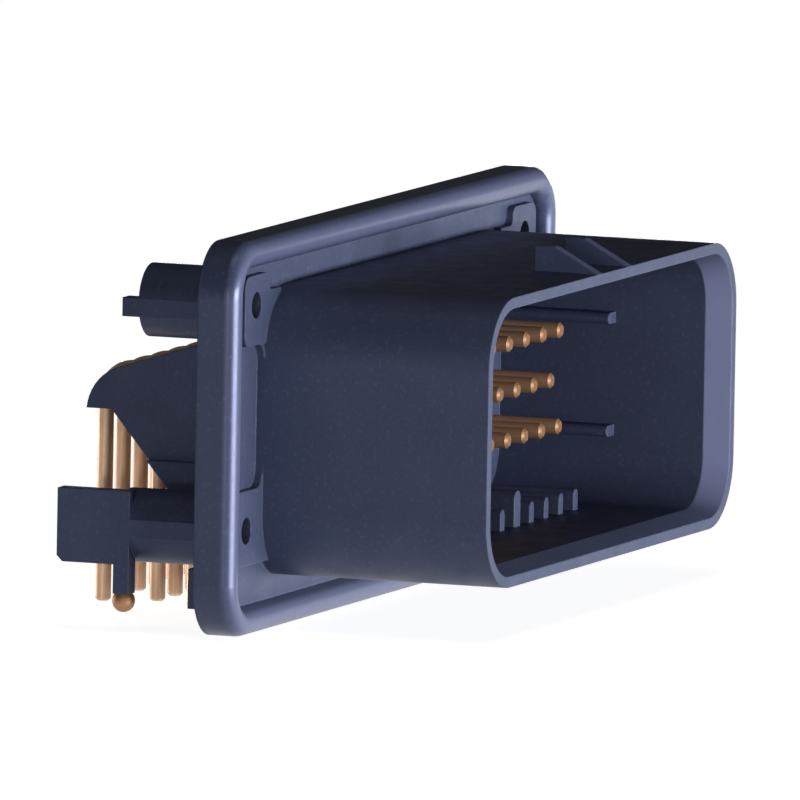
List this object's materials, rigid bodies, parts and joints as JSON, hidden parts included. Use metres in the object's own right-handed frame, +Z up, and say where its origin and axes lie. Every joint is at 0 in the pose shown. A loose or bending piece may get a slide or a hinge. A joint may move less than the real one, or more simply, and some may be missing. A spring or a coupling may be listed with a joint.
{
  "type": "right-angle board header connector",
  "caption": "Rectangular board header: a flanged plastic shroud with a bevelled mouth around rows of round contacts bent down to a board, with screw barrels, feet and pegs behind.",
  "frame": {"origin": "centre of the socket's mouth", "axes": "+X along the width, +Y from the mouth back towards the board, +Z up away from the board"},
  "size_m": [0.0752, 0.0368, 0.0323],
  "materials": {
    "housing_plastic": "satin moulded",
    "contact_metal": "bright copper alloy"
  },
  "bodies": {
    "root": {"housing": "housing_plastic", "peg_tip_left": "contact_metal", "peg_tip_right": "contact_metal", "contact_top_01": "contact_metal", "contact_top_02": "contact_metal", "contact_top_03": "contact_metal", "contact_top_04": "contact_metal", "contact_top_05": "contact_metal", "contact_top_06": "contact_metal", "contact_top_07": "contact_metal", "contact_top_08": "contact_metal", "contact_top_09": "contact_metal", "contact_top_10": "contact_metal", "contact_top_11": "contact_metal", "contact_top_12": "contact_metal", "contact_middle_01": "contact_metal", "contact_middle_02": "contact_metal", "contact_middle_03": "contact_metal", "contact_middle_04": "contact_metal", "contact_middle_05": "contact_metal", "contact_middle_06": "contact_metal", "contact_middle_07": "contact_metal", "contact_middle_08": "contact_metal", "contact_middle_09": "contact_metal", "contact_middle_10": "contact_metal", "contact_middle_11": "contact_metal", "contact_bottom_01": "contact_metal", "contact_bottom_02": "contact_metal", "contact_bottom_03": "contact_metal", "contact_bottom_04": "contact_metal", "contact_bottom_05": "contact_metal", "contact_bottom_06": "contact_metal", "contact_bottom_07": "contact_metal", "contact_bottom_08": "contact_metal", "contact_bottom_09": "contact_metal", "contact_bottom_10": "contact_metal", "contact_bottom_11": "contact_metal", "contact_bottom_12": "contact_metal"}
  },
  "joints": []
}
